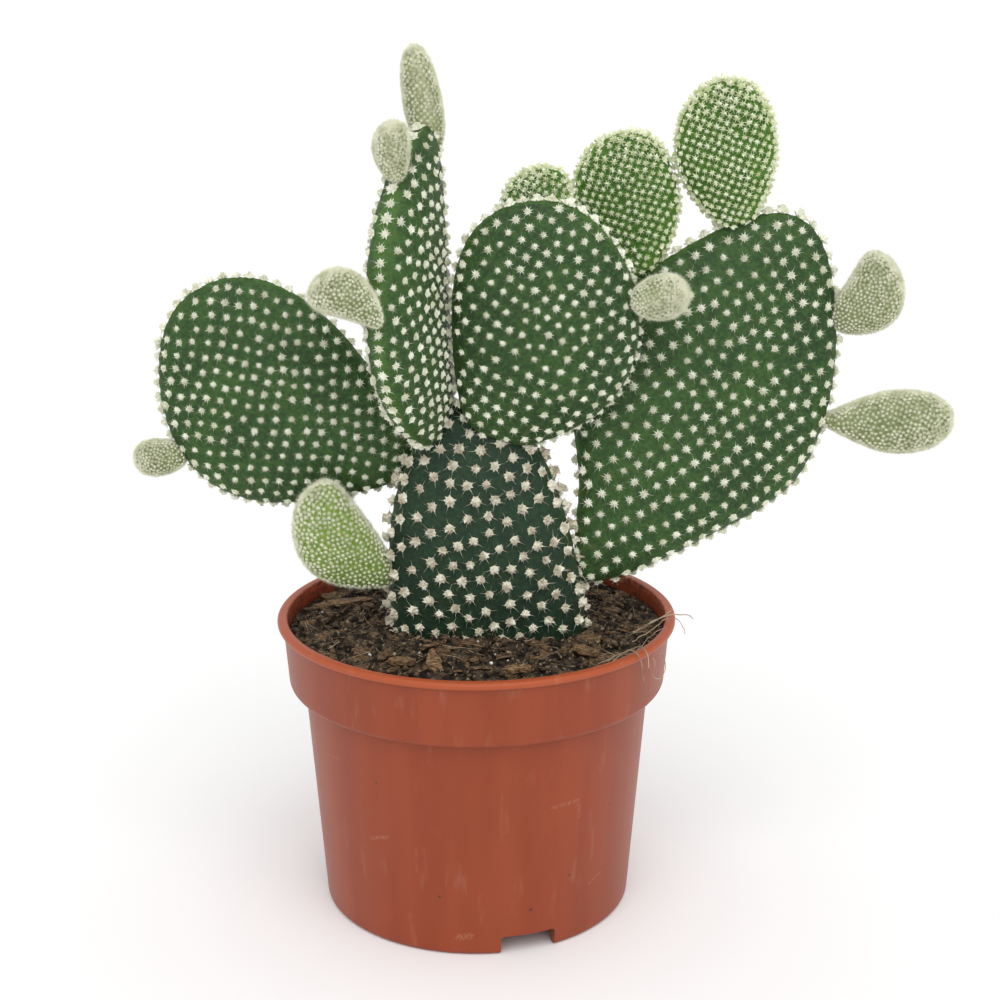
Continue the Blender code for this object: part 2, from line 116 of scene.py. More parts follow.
class Finish:
    """A material being put together: one Principled shader and the nodes that feed it."""

    def __init__(self, name, **constants):
        self.material = bpy.data.materials.new(name)
        self.material.use_nodes = True
        self.tree = self.material.node_tree
        self.shader = self.tree.nodes["Principled BSDF"]
        for socket, value in constants.items():
            self.feed(self.shader.inputs[socket.replace("_", " ")], value)

    def feed(self, socket, value):
        if isinstance(value, Value):
            self.tree.links.new(value.socket, socket)
        else:
            socket.default_value = value

    def node(self, kind, settings, sockets, output=0):
        """A node with its settings and socket values or links; ramp stops go as settings."""
        made = self.tree.nodes.new(kind)
        for name, value in settings.items():
            if name == "stops":
                ramp = made.color_ramp.elements
                while len(ramp) < len(value):
                    ramp.new(1.0)
                for stop, (position, colour) in zip(ramp, value):
                    stop.position, stop.color = position, (*colour, 1.0)
            else:
                setattr(made, name, value)
        for name, value in sockets.items():
            self.feed(made.inputs[name], value)
        return Value(self, made.outputs[output])

    def place(self, stretch=(1, 1, 1)):
        """The point on the piece, in its own metres, stretched along the axes."""
        point = self.node("ShaderNodeTexCoord", {}, {}, "Object")
        sockets = {"Vector": point, "Scale": stretch}
        return self.node("ShaderNodeMapping", {}, sockets)

    def noise(self, size, detail=3.0, stretch=(1, 1, 1)):
        """Soft noise from 0 to 1, its lumps about size across."""
        sockets = {"Vector": self.place(stretch), "Scale": 1 / size, "Detail": detail}
        return self.node("ShaderNodeTexNoise", {}, sockets)

    def mask(self, value, low, high):
        """0 below low, 1 above high, smooth between."""
        settings = {"interpolation_type": "SMOOTHSTEP"}
        sockets = {"Value": value, "From Min": low, "From Max": high}
        return self.node("ShaderNodeMapRange", settings, sockets)

    def attribute(self, name):
        return self.node("ShaderNodeAttribute", {"attribute_name": name}, {}, "Fac")

    def mix(self, share, first, second):
        """Colour from first to second as share goes from 0 to 1."""
        first, second = [
            (*colour, 1.0) if isinstance(colour, tuple) else colour
            for colour in (first, second)
        ]
        sockets = {0: share, 6: first, 7: second}
        return self.node("ShaderNodeMix", {"data_type": "RGBA"}, sockets, 2)

    def near(self, middle, radius, edge):
        """1 within radius of a point, 0 beyond edge more."""
        settings = {"operation": "DISTANCE"}
        away = self.node("ShaderNodeVectorMath", settings, {0: self.place(), 1: middle}, "Value")
        return 1 - self.mask(away, radius, radius + edge)

    def height(self):
        """Height above the ground."""
        return self.node("ShaderNodeSeparateXYZ", {}, {0: self.place()}, "Z")

    def wear(self, colour, roughness, relief, depth):
        """Feeds the shader what varies over the surface; relief is raised by depth."""
        self.feed(self.shader.inputs["Base Color"], colour)
        self.feed(self.shader.inputs["Roughness"], roughness)
        bump = {"Height": relief, "Distance": depth, "Strength": 1.0}
        self.feed(self.shader.inputs["Normal"], self.node("ShaderNodeBump", {}, bump))


def add_piece(name, mesh, slot, finishes, *nodes):
    """A finished piece that rides on the model, in place of the named nodes."""
    piece = bpy.data.objects.new(name, mesh)
    bpy.context.scene.collection.objects.link(piece)
    mesh.materials.clear()
    for finish in finishes:
        mesh.materials.append(finish)
    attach(piece, "root")
    if nodes:
        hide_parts(*nodes)
    return piece


def settled_mesh(shape, modify):
    """The mesh of a bmesh after modifiers, which modify adds to a passing object."""
    mesh = bpy.data.meshes.new("passing")
    shape.to_mesh(mesh)
    shape.free()
    passing = bpy.data.objects.new("passing", mesh)
    bpy.context.scene.collection.objects.link(passing)
    modify(passing)
    evaluated = passing.evaluated_get(bpy.context.evaluated_depsgraph_get())
    settled = bpy.data.meshes.new_from_object(evaluated)
    bpy.data.objects.remove(passing)
    return settled


def on_circle(radius, angle, height=0.0):
    """A point at an angle in degrees to the right of the front."""
    return Vector((radius * sin(radians(angle)), -radius * cos(radians(angle)), height))


def arc(centre, radius, start, end, steps):
    """Points (r, z) round a quarter or half turn, in degrees from +r towards +z."""
    angles = [radians(start + (end - start) * i / steps) for i in range(steps + 1)]
    return [(centre[0] + radius * cos(a), centre[1] + radius * sin(a)) for a in angles]


def spun(profile, steps):
    """A closed solid from a profile that starts and ends on the axis."""
    shape = bmesh.new()
    points = [shape.verts.new((r, 0, z)) for r, z in profile]
    edges = [shape.edges.new(pair) for pair in zip(points, points[1:])]
    bmesh.ops.spin(
        shape, geom=points + edges, cent=(0, 0, 0), axis=(0, 0, 1),
        angle=2 * pi, steps=steps, use_merge=True, use_duplicate=False,
    )
    bmesh.ops.remove_doubles(shape, verts=shape.verts, dist=1e-6)
    bmesh.ops.recalc_face_normals(shape, faces=shape.faces)
    return shape


def body_radius(height):
    return BASE_RADIUS + (BODY_TOP_RADIUS - BASE_RADIUS) * height / COLLAR_EDGE


def collar_radius(height):
    return COLLAR_BOTTOM_RADIUS + COLLAR_DRAFT * (height - COLLAR_EDGE) / COLLAR_HEIGHT


def pot_profile():
    """Underside, outside, lip, inside and floor, from the axis round to the axis."""
    lip = LIP_HEIGHT / 2
    foot_inside = BASE_RADIUS - FOOT_RING_WIDTH
    floor = FLOOR_RISE + WALL
    under = [(0, 0), (CENTRE_FOOT_RADIUS, 0), (CENTRE_FOOT_RADIUS + FOOT_RAMP, FLOOR_RISE)]
    under += [(foot_inside - FOOT_RAMP, FLOOR_RISE), (foot_inside, 0)]
    outside = arc((BASE_RADIUS - BASE_ROUND, BASE_ROUND), BASE_ROUND, -90, 0, 5)
    fillet = COLLAR_ROUND / 3
    outside += arc(
        (body_radius(COLLAR_EDGE) + fillet, COLLAR_EDGE - fillet), fillet, 180, 90, 4
    )
    outside += arc(
        (COLLAR_BOTTOM_RADIUS - COLLAR_ROUND, COLLAR_EDGE + COLLAR_ROUND), COLLAR_ROUND, -90, 0, 6
    )
    under_lip = POT_HEIGHT - LIP_HEIGHT
    outside += arc(
        (collar_radius(under_lip) + fillet / 2, under_lip - fillet / 2), fillet / 2, 180, 90, 3
    )
    rim = arc((RIM_RADIUS - lip, POT_HEIGHT - lip), lip, -90, 90, 10)
    inner_lip = COLLAR_TOP_RADIUS - WALL
    rim += arc((inner_lip + lip / 2, POT_HEIGHT - lip / 2), lip / 2, 90, 180, 5)
    inside = [(collar_radius(COLLAR_EDGE + WALL) - WALL, COLLAR_EDGE + WALL)]
    inside += [(body_radius(COLLAR_EDGE - WALL) - WALL, COLLAR_EDGE - WALL)]
    inside += [(body_radius(floor) - WALL, floor)]
    inside += [(CENTRE_FOOT_RADIUS + FOOT_RAMP - WALL, floor)]
    inside += [(CENTRE_FOOT_RADIUS - WALL, WALL), (0, WALL)]
    return under + outside + rim + inside


def pot_cutter(name, shape):
    mesh = bpy.data.meshes.new(name)
    bmesh.ops.recalc_face_normals(shape, faces=shape.faces)
    shape.to_mesh(mesh)
    shape.free()
    cutter = bpy.data.objects.new(name, mesh)
    bpy.context.scene.collection.objects.link(cutter)
    return cutter


def drill_and_notch(pot):
    """Drain holes through the raised floor, and gaps in the foot ring."""
    drills = bmesh.new()
    middle = (CENTRE_FOOT_RADIUS + BASE_RADIUS - FOOT_RING_WIDTH) / 2
    for i in range(DRAIN_HOLES):
        bmesh.ops.create_cone(
            drills, cap_ends=True, segments=32, depth=6 * WALL,
            radius1=DRAIN_HOLE_RADIUS, radius2=DRAIN_HOLE_RADIUS,
            matrix=Matrix.Translation(on_circle(middle, 360 * i / DRAIN_HOLES, FLOOR_RISE)),
        )
    notches = bmesh.new()
    for i in range(FOOT_NOTCHES):
        angle = FIRST_NOTCH_ANGLE + 360 * i / FOOT_NOTCHES
        place = Matrix.Translation(on_circle(BASE_RADIUS - FOOT_RING_WIDTH / 2, angle))
        place @= Matrix.Rotation(radians(angle), 4, "Z")
        block = Matrix.Diagonal((FOOT_NOTCH_WIDTH, 4 * FOOT_RING_WIDTH, 2 * FLOOR_RISE, 1))
        made = bmesh.ops.create_cube(notches, size=1, matrix=place @ block)
        corners = {corner for corner in made["verts"] if corner.co.z > 0}
        upright = [
            edge for edge in notches.edges
            if set(edge.verts) <= corners
            and abs((edge.verts[0].co - edge.verts[1].co).length - 4 * FOOT_RING_WIDTH) < WALL / 2
        ]
        bmesh.ops.bevel(
            notches, geom=upright, offset=0.0011, segments=4, profile=0.5,
            affect="EDGES", material=-1,
        )
    for name, shape in (("drain_drills", drills), ("foot_notches", notches)):
        cut = pot.modifiers.new(name, "BOOLEAN")
        cut.operation = "DIFFERENCE"
        cut.solver = "EXACT"
        cut.object = pot_cutter(name, shape)


pot_mesh = settled_mesh(spun(pot_profile(), POT_STEPS), drill_and_notch)
for name in ("drain_drills", "foot_notches"):
    bpy.data.objects.remove(bpy.data.objects[name])
pot_mesh.shade_smooth()
pot_mesh.set_sharp_from_angle(angle=radians(38))

plastic = Finish("terracotta_plastic", Specular_IOR_Level=0.36, IOR=1.46)
height = plastic.height()
# drawn bands run up the wall, because the melt flows up from the base
bands = plastic.noise(0.011, 2, (1, 1, 0.03))
clouds = plastic.noise(0.030, 4)
orange = plastic.mix(plastic.mask(bands, 0.35, 0.65), (0.262, 0.045, 0.0135), (0.295, 0.053, 0.0165))
orange = plastic.mix(plastic.mask(clouds, 0.4, 0.7) * 0.30, orange, (0.240, 0.047, 0.017))
# the lip is painted paler: partly painted light for the glow through the thin plastic, partly rubbed wear
lip_glow_and_wear = plastic.mask(height, POT_HEIGHT - LIP_HEIGHT * 1.1, POT_HEIGHT - LIP_HEIGHT * 0.7)
orange = plastic.mix(lip_glow_and_wear * 0.8, orange, (0.42, 0.084, 0.026))
# damp soil marks the foot, and dust lies in streaks on the wall
splash = plastic.mask(plastic.noise(0.0022, 5), 0.60, 0.72)
low = 1 - plastic.mask(height, 0.004, 0.030)
orange = plastic.mix(splash * low * 0.35, orange, (0.16, 0.060, 0.035))
dust = plastic.mask(plastic.noise(0.0040, 6, (1, 1, 0.25)), 0.58, 0.80)
orange = plastic.mix(dust * 0.14, orange, (0.55, 0.36, 0.25))
SPECKS = (
    (19.6, 0.0140, 0.00075), (34.5, 0.0225, 0.00055), (-12.5, 0.0192, 0.00055),
    (-34.0, 0.0530, 0.00045), (52.0, 0.0410, 0.00045), (140.0, 0.0310, 0.00060),
    (205.0, 0.0480, 0.00055), (262.0, 0.0200, 0.00060), (305.0, 0.0360, 0.00050),
)
for angle, up, size in SPECKS:
    speck = plastic.near(on_circle(body_radius(up), angle, up), size * 0.5, size * 0.5)
    orange = plastic.mix(speck * 0.75, orange, (0.060, 0.022, 0.012))
SCUFFS = (
    ((26, 0.0465), (36, 0.0470), 0.00035), ((36, 0.0470), (37, 0.0415), 0.00030),
    ((-6, 0.0060), (-2, 0.0066), 0.00060), ((-38, 0.0340), (-31, 0.0360), 0.00030),
    ((44, 0.0170), (50, 0.0190), 0.00025), ((160, 0.0400), (171, 0.0390), 0.00035),
    ((230, 0.0250), (236, 0.0330), 0.00030), ((300, 0.0550), (309, 0.0560), 0.00030),
)
scuffed = None
for (first_angle, first_up), (last_angle, last_up), half in SCUFFS:
    for i in range(9):
        share = i / 8
        up = first_up + (last_up - first_up) * share
        angle = first_angle + (last_angle - first_angle) * share
        dab = plastic.near(on_circle(body_radius(up), angle, up), half * 0.6, half * 2.2)
        scuffed = dab if scuffed is None else scuffed.math("MAXIMUM", scuffed, dab)
scuffed = scuffed * plastic.mask(plastic.noise(0.0008, 3), 0.35, 0.60)
orange = plastic.mix(scuffed * 0.20, orange, (0.60, 0.34, 0.22))
# soil clings to the inside of the wall
spread = plastic.node("ShaderNodeVectorMath", {"operation": "LENGTH"}, {0: plastic.place((1, 1, 0))}, "Value")
within = 1 - plastic.mask(spread, COLLAR_TOP_RADIUS - WALL * 0.9, COLLAR_TOP_RADIUS - WALL * 0.5)
within = within * plastic.mask(height, POT_HEIGHT - 0.0100, POT_HEIGHT - 0.0080)
grime = plastic.mask(plastic.noise(0.0015, 5), 0.42, 0.66)
orange = plastic.mix(within * grime * 0.75, orange, (0.045, 0.020, 0.013))
grain = plastic.noise(0.00035, 2)
polish = 0.36 + clouds * 0.10 + dust * 0.12 + scuffed * 0.20
plastic.wear(orange, polish, grain * 0.25 + bands * 0.9 + scuffed * 0.3, 0.00012)

add_piece("nursery_pot", pot_mesh, "pot_plastic", [plastic.material], "pot")


# ---- Soil -----------------------------------------------------------------------------
# Damp peat mix: a dark crumbly surface in a shallow mound round the plant, with crumbs
# pressed into it and lying loose on it. It fills the pot to just under the lip.

SOIL_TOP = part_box("soil")[1].z
SOIL_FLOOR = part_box("soil")[0].z
SOIL_DROP = 0.0050
SOIL_MOUND = 0.0022
SOIL_RINGS = 84
SOIL_STEPS = 236
CRUMBS = 3400
CRUMB_SIZES = (0.0008, 0.0040)
SOIL_RADIUS = collar_radius(POT_HEIGHT - SOIL_DROP) - WALL - 0.0003

plant_low, plant_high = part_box("base_pad")
plant_middle = (plant_low + plant_high) / 2


def soil_height(x, y):
    """The soil's surface: a low mound, soft heaps, and crumbs run together."""
    share = min(1.0, hypot(x, y) / SOIL_RADIUS)
    heaps = noise.noise(Vector((x, y, 0)) * 55) * 0.0018
    lumps = noise.fractal(Vector((x, y, 0.3)) * 150, 0.9, 2.1, 5) * 0.0017
    pits = max(0.0, noise.noise(Vector((x, y, 0.7)) * 230) - 0.05) * 0.0060
    calm = 1 - share ** 8
    mound = SOIL_MOUND * (1 - share * share)
    return POT_HEIGHT - SOIL_DROP + mound + (heaps + lumps - pits) * calm


def wall_radius(height):
    radius = collar_radius(height) if height > COLLAR_EDGE + WALL else body_radius(height)
    return radius - WALL - 0.0002


edge_height = POT_HEIGHT - SOIL_DROP
soil_profile = [(0, SOIL_FLOOR), (wall_radius(SOIL_FLOOR), SOIL_FLOOR)]
soil_profile += [(wall_radius(COLLAR_EDGE - WALL), COLLAR_EDGE - WALL)]
soil_profile += [(wall_radius(COLLAR_EDGE + 2 * WALL) - WALL, COLLAR_EDGE + 2 * WALL)]
soil_profile += [(SOIL_RADIUS * (1 - i / SOIL_RINGS), edge_height) for i in range(SOIL_RINGS + 1)]
soil = spun(soil_profile, SOIL_STEPS)
for point in soil.verts:
    if point.co.z > edge_height - 1e-6:
        point.co.z = soil_height(point.co.x, point.co.y)
bmesh.ops.recalc_face_normals(soil, faces=soil.faces)
soil_mesh = bpy.data.meshes.new("peat")
soil.to_mesh(soil_mesh)
soil.free()
soil_mesh.shade_smooth()


def earth_finish(name, dark, light, fleck):
    """Crumbly earth: dark and light crumbs, with a few pale fibres of bark or husk."""
    earth = Finish(name, Specular_IOR_Level=0.25)
    crumbs = earth.noise(0.0026, 6)
    patches = earth.noise(0.010, 3)
    colour = earth.mix(earth.mask(crumbs, 0.40, 0.62), dark, light)
    colour = earth.mix(earth.mask(patches, 0.52, 0.70) * 0.6, colour, dark)
    bits = earth.mask(earth.noise(0.0014, 4), 0.60, 0.68)
    colour = earth.mix(bits * 0.75, colour, fleck)
    earth.wear(colour, 0.72 + crumbs * 0.25, crumbs + earth.noise(0.0006, 4), 0.0006)
    return earth.material


peat = earth_finish("damp_peat", (0.0090, 0.0065, 0.0045), (0.085, 0.058, 0.036), (0.33, 0.24, 0.15))
add_piece("peat", soil_mesh, "peat_soil", [peat], "soil")


def lump(random, roundness, size=0.5):
    """A small irregular body of a few faces."""
    shape = bmesh.new()
    bmesh.ops.create_icosphere(shape, subdivisions=1, radius=size)
    for point in shape.verts:
        point.co *= random.uniform(roundness, 1.0)
    mesh = bpy.data.meshes.new("lump")
    shape.to_mesh(mesh)
    shape.free()
    return mesh


def scatter(stamps, places):
    """One mesh from copies of stamps, each at its own matrix."""
    heap = bmesh.new()
    for stamp, place in zip(stamps, places):
        stamp.transform(place)
        heap.from_mesh(stamp)
        stamp.transform(place.inverted())
    mesh = bpy.data.meshes.new("scatter")
    heap.to_mesh(mesh)
    heap.free()
    return mesh


def clear_of_plant(x, y, gap):
    """True beside the base pad's foot."""
    half_x = (plant_high.x - plant_low.x) / 2 - 0.006 + gap
    half_y = (plant_high.y - plant_low.y) / 2 - 0.002 + gap
    return hypot((x - plant_middle.x - 0.008) / half_x, (y - plant_middle.y) / half_y) > 1


def soil_spot(random, edge=0.0015, gap=0.0):
    """A place on the soil, beside the plant."""
    while True:
        radius = (SOIL_RADIUS - edge) * sqrt(random.random())
        angle = random.uniform(0, 2 * pi)
        x, y = radius * cos(angle), radius * sin(angle)
        if clear_of_plant(x, y, gap):
            return x, y


def any_turn(random, steepest=pi):
    """A turn about the upright, then a tip of up to steepest, in a random direction."""
    turn = Matrix.Rotation(random.uniform(0, 2 * pi), 4, "Z")
    return turn @ Matrix.Rotation(random.uniform(-steepest, steepest), 4, "X")


random = Random(11)
crumb_stamps = [lump(random, 0.55) for _ in range(7)]
crumb_places = []
for _ in range(CRUMBS):
    x, y = soil_spot(random)
    size = CRUMB_SIZES[0] + (CRUMB_SIZES[1] - CRUMB_SIZES[0]) * random.random() ** 3
    place = Matrix.Translation((x, y, soil_height(x, y) + size * random.uniform(-0.1, 0.3)))
    place @= any_turn(random)
    crumb_places.append(place @ Matrix.Diagonal((size, size * 0.8, size * 0.65, 1)))
crumb_mesh = scatter([random.choice(crumb_stamps) for _ in crumb_places], crumb_places)
crumb_earth = earth_finish(
    "loose_crumbs", (0.016, 0.011, 0.007), (0.140, 0.096, 0.058), (0.46, 0.35, 0.22)
)
add_piece("peat_crumbs", crumb_mesh, "peat_soil", [crumb_earth])


# ---- Bark and litter --------------------------------------------------------------------
# Flakes of composted pine bark, some larger ones lying loose, with splinters, pale coir
# fibres and grains of perlite. They lie flat on the soil or half sunk in it.

CHIP_NODES = {
    "bark_chip_front": (75, -30), "bark_chip_left": (12, -3), "bark_chip_right": (-15, 12),
    "bark_chip_front_right": (20, -6), "bark_chip_front_left": (-8, 6),
}
FLAKES = 420
FIBRES = 170
GRAINS = 34


def bark_flake(random, length, width, thickness):
    """A torn flake: a thin slab with a ragged outline and splintered layers."""
    shape = bmesh.new()
    bmesh.ops.create_grid(shape, x_segments=6, y_segments=3, size=0.5)
    for point in shape.verts:
        taper = 1 - 0.75 * abs(2 * point.co.x) ** 2.2
        point.co.y *= taper * random.uniform(0.75, 1.1)
        point.co.x *= random.uniform(0.86, 1.06)
        point.co.z = 0.10 * cos(3 * point.co.x) + random.uniform(-0.12, 0.12)
    bmesh.ops.solidify(shape, geom=shape.faces[:], thickness=0.55)
    for point in shape.verts:
        point.co += Vector([random.uniform(-0.03, 0.03) for _ in range(3)])
    bmesh.ops.recalc_face_normals(shape, faces=shape.faces)
    mesh = bpy.data.meshes.new("bark_flake")
    shape.transform(Matrix.Diagonal((length, width, thickness, 1)))
    shape.to_mesh(mesh)
    shape.free()
    return mesh


def bark_finish(name, dark, mid, pale):
    bark = Finish(name, Specular_IOR_Level=0.3)
    layers = bark.noise(0.0016, 5, (1, 2.2, 3))
    rot = bark.noise(0.0045, 3)
    colour = bark.mix(bark.mask(layers, 0.35, 0.62), dark, mid)
    colour = bark.mix(bark.mask(layers, 0.58, 0.75) * bark.mask(rot, 0.4, 0.6), colour, pale)
    bark.wear(colour, 0.66 + layers * 0.25, layers, 0.0005)
    return bark.material


bark = bark_finish("pine_bark", (0.060, 0.033, 0.017), (0.26, 0.155, 0.075), (0.55, 0.40, 0.22))
random = Random(5)
for name, (turn, tilt) in CHIP_NODES.items():
    low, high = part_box(name)
    middle = (low + high) / 2
    across, deep = high.x - low.x, high.y - low.y
    length, width = max(across, deep) * 1.02, min(across, deep) * 0.92
    along = 0 if across > deep else 90
    flake = bark_flake(random, length, width, max(0.0022, (high.z - low.z) * 0.6))
    place = Matrix.Translation((middle.x, middle.y, low.z + (high.z - low.z) * 0.5))
    place @= Matrix.Rotation(radians(along + turn % 20), 4, "Z")
    flake.transform(place @ Matrix.Rotation(radians(tilt), 4, "Y"))
    flake.shade_flat()
    add_piece(name.replace("chip", "flake"), flake, "pine_bark", [bark], name)

flake_stamps = [bark_flake(random, 1, 0.55, 0.22) for _ in range(6)]
flake_places = []
for _ in range(FLAKES):
    x, y = soil_spot(random, 0.003)
    size = 0.0018 + 0.0070 * random.random() ** 2
    place = Matrix.Translation((x, y, soil_height(x, y) + size * 0.06))
    flake_places.append(place @ any_turn(random, 0.7) @ Matrix.Scale(size, 4))
flake_mesh = scatter([random.choice(flake_stamps) for _ in flake_places], flake_places)
flake_mesh.shade_flat()
small_bark = bark_finish("bark_crumbs", (0.035, 0.020, 0.011), (0.19, 0.115, 0.058), (0.50, 0.36, 0.20))
add_piece("bark_flakes", flake_mesh, "pine_bark", [small_bark])


def bent_fibre(random, bow, steps=6):
    """A three-sided tapering fibre of unit length, lying along x and bowed."""
    shape = bmesh.new()
    ring = bmesh.ops.create_circle(shape, segments=3, radius=1.0, cap_ends=True)["verts"]
    cap = shape.faces[:]
    shape.transform(Matrix.Translation((-0.5, 0, 0)) @ Matrix.Rotation(pi / 2, 4, "Y"))
    kinks = [random.uniform(-1, 1) for _ in range(2)]
    for i in range(1, steps + 1):
        made = bmesh.ops.extrude_face_region(shape, geom=cap)
        fresh = [item for item in made["geom"] if isinstance(item, bmesh.types.BMVert)]
        bmesh.ops.delete(shape, geom=cap, context="FACES_ONLY")
        cap = [item for item in made["geom"] if isinstance(item, bmesh.types.BMFace)]
        bmesh.ops.translate(shape, verts=fresh, vec=(1 / steps, 0, 0))
    for point in shape.verts:
        share = point.co.x + 0.5
        thin = 0.012 * (1 - 0.75 * share)
        point.co.y *= thin
        point.co.z *= thin
        point.co.y += bow * (sin(pi * share) + 0.5 * kinks[0] * sin(2 * pi * share))
        point.co.z += 0.35 * bow * kinks[1] * sin(2 * pi * share)
    bmesh.ops.recalc_face_normals(shape, faces=shape.faces)
    mesh = bpy.data.meshes.new("fibre")
    shape.to_mesh(mesh)
    shape.free()
    return mesh


def dry_finish(name, dark, pale, roughness=0.7):
    """Dry plant fibre, darker where it is rotten or damp."""
    dry = Finish(name, Specular_IOR_Level=0.3)
    tone = dry.noise(0.006, 4)
    streak = dry.noise(0.0008, 2)
    colour = dry.mix(dry.mask(tone, 0.35, 0.65), dark, pale)
    dry.wear(colour, roughness + streak * 0.15, streak, 0.0002)
    return dry.material


fibre_stamps = [bent_fibre(random, bow) for bow in (0.02, 0.06, 0.12, 0.2, -0.1, 0.28)]
fibre_places = []
for _ in range(FIBRES):
    x, y = soil_spot(random, 0.004)
    length = random.uniform(0.003, 0.011)
    lift = random.uniform(0.0001, 0.0010)
    place = Matrix.Translation((x, y, soil_height(x, y) + lift)) @ any_turn(random, 0.5)
    place @= Matrix.Rotation(random.uniform(-0.35, 0.35), 4, "Y")
    fibre_places.append(place @ Matrix.Diagonal((length, 0.012, 0.012, 1)))
fibre_mesh = scatter([random.choice(fibre_stamps) for _ in fibre_places], fibre_places)
coir = dry_finish("coir_fibre", (0.12, 0.075, 0.042), (0.46, 0.34, 0.21))
add_piece("coir_fibres", fibre_mesh, "dry_straw", [coir])

grain_stamps = [lump(random, 0.7) for _ in range(3)]
grain_places = []
for _ in range(GRAINS):
    x, y = soil_spot(random, 0.004)
    size = random.uniform(0.0006, 0.0016)
    place = Matrix.Translation((x, y, soil_height(x, y) + size * 0.35))
    grain_places.append(place @ any_turn(random) @ Matrix.Scale(size, 4))
grain_mesh = scatter([random.choice(grain_stamps) for _ in grain_places], grain_places)
perlite = dry_finish("perlite", (0.42, 0.40, 0.36), (0.80, 0.79, 0.75), 0.8)
add_piece("perlite_grains", grain_mesh, "peat_soil", [perlite])


# ---- Pads and buds ----------------------------------------------------------------------
# Each pad is a flattened fleshy stem on a narrow joint, with a thin waxy skin raised a
# little under every areole. Old pads are blue green, younger ones brighter, and the new
# buds are almost yellow. Every areole carries a cushion of wool and a star of bristles.

PAD_LOOKS = {
    # parent, areole spacing, wool size, skin, relief, voxel
    "base_pad": ("soil", 0.0071, 0.0032, "old", 0.00035, 0.00085),
    "left_pad": ("base_pad", 0.0053, 0.0022, "mature", 0.00030, 0.00075),
    "narrow_pad": ("base_pad", 0.0053, 0.0022, "mature", 0.00035, 0.00075),
    "centre_pad": ("base_pad", 0.0053, 0.0022, "mature", 0.00030, 0.00075),
    "right_pad": ("base_pad", 0.0060, 0.0025, "mature", 0.00030, 0.00085),
    "upper_back_pad": ("centre_pad", 0.0026, 0.0016, "fresh", 0.00030, 0.00045),
    "upper_right_pad": ("right_pad", 0.0027, 0.0017, "fresh", 0.00035, 0.00050),
    "upper_middle_pad": ("right_pad", 0.0029, 0.0017, "fresh", 0.00035, 0.00050),
    "far_left_bud": ("left_pad", 0.00120, 0.0011, "bud", 0.00018, 0.00032),
    "lower_left_bud": ("base_pad", 0.00175, 0.0013, "shoot", 0.00022, 0.00042),
    "centre_left_bud": ("narrow_pad", 0.00125, 0.0012, "bud", 0.00018, 0.00034),
    "top_left_small_bud": ("narrow_pad", 0.00120, 0.0012, "bud", 0.00018, 0.00033),
    "top_left_tall_bud": ("narrow_pad", 0.00135, 0.0012, "bud", 0.00020, 0.00038),
    "centre_right_bud": ("centre_pad", 0.00120, 0.0012, "bud", 0.00018, 0.00034),
    "right_bud": ("right_pad", 0.00140, 0.0012, "bud", 0.00020, 0.00040),
    "far_right_bud": ("right_pad", 0.00155, 0.0013, "bud", 0.00022, 0.00042),
}
SKIN_SLOTS = {
    "old": "old_skin", "mature": "mature_skin", "fresh": "fresh_skin",
    "shoot": "bud_skin", "bud": "bud_skin",
}
SKIN_SWELL = 0.00030


def grown_skin(node, voxel):
    """A fine closed skin over a plain pad: merged, rounded and remeshed."""
    shape = bmesh.new()
    shape.from_mesh(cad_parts[node].data)
    bmesh.ops.remove_doubles(shape, verts=shape.verts, dist=1e-6)

    def modify(passing):
        rounding = passing.modifiers.new("rounding", "SUBSURF")
        rounding.levels = rounding.render_levels = 2
        remesh = passing.modifiers.new("remesh", "REMESH")
        remesh.mode = "VOXEL"
        remesh.voxel_size = voxel
        smooth = passing.modifiers.new("smooth", "SMOOTH")
        smooth.factor, smooth.iterations = 0.5, 10

    return settled_mesh(shape, modify)


def vectors(mesh, name):
    """Every vertex's "co" or "normal"."""
    values = np.empty(len(mesh.vertices) * 3, np.float32)
    mesh.vertices.foreach_get(name, values)
    return values.reshape(-1, 3).astype(float)


def pad_axes(points, root):
    """Middle of a pad and its length, width and thickness axes, the length leaving root."""
    middle = points.mean(0)
    spread = np.linalg.eigh(np.cov((points - middle).T))[1]
    length, width, through = spread[:, 2], spread[:, 1], spread[:, 0]
    if length @ (middle - np.array(root)) < 0:
        length = -length
    if through[1] > 0:
        through = -through
    return Vector(middle), Vector(length), Vector(width), Vector(through)


LATTICE_SLANT = 0.33        # radians between the rows and the pad's length


def face_sites(skin, axes, reach, spacing):
    """A slanting lattice of areoles over both faces of a pad, with its rows a little bent."""
    middle, length, width, through = axes
    sites = []
    rows = int(reach[0] / spacing) + 2
    files = int(reach[1] / spacing) + 2
    for side in (1, -1):
        for i in range(-rows * 2, rows * 2 + 1):
            for j in range(-files, files + 1):
                row, file = i * spacing * 0.52, (j + (i % 2) / 2) * spacing * 1.1
                u = row * cos(LATTICE_SLANT) - file * sin(LATTICE_SLANT)
                v = row * sin(LATTICE_SLANT) + file * cos(LATTICE_SLANT)
                bend = noise.noise_vector(Vector((u, v, side * 0.1)) * 28 + middle * 40)
                stray = noise.noise_vector(Vector((u, v, side * 0.2)) * 900)
                u += bend.x * spacing * 0.85 + stray.x * spacing * 0.30
                v += bend.y * spacing * 0.85 + stray.y * spacing * 0.30
                start = middle + length * u + width * v + through * side * reach[0]
                place, normal, _, _ = skin.ray_cast(start, -through * side)
                if place and normal.dot(through) * side > 0.30:
                    sites.append((place, normal))
    return sites


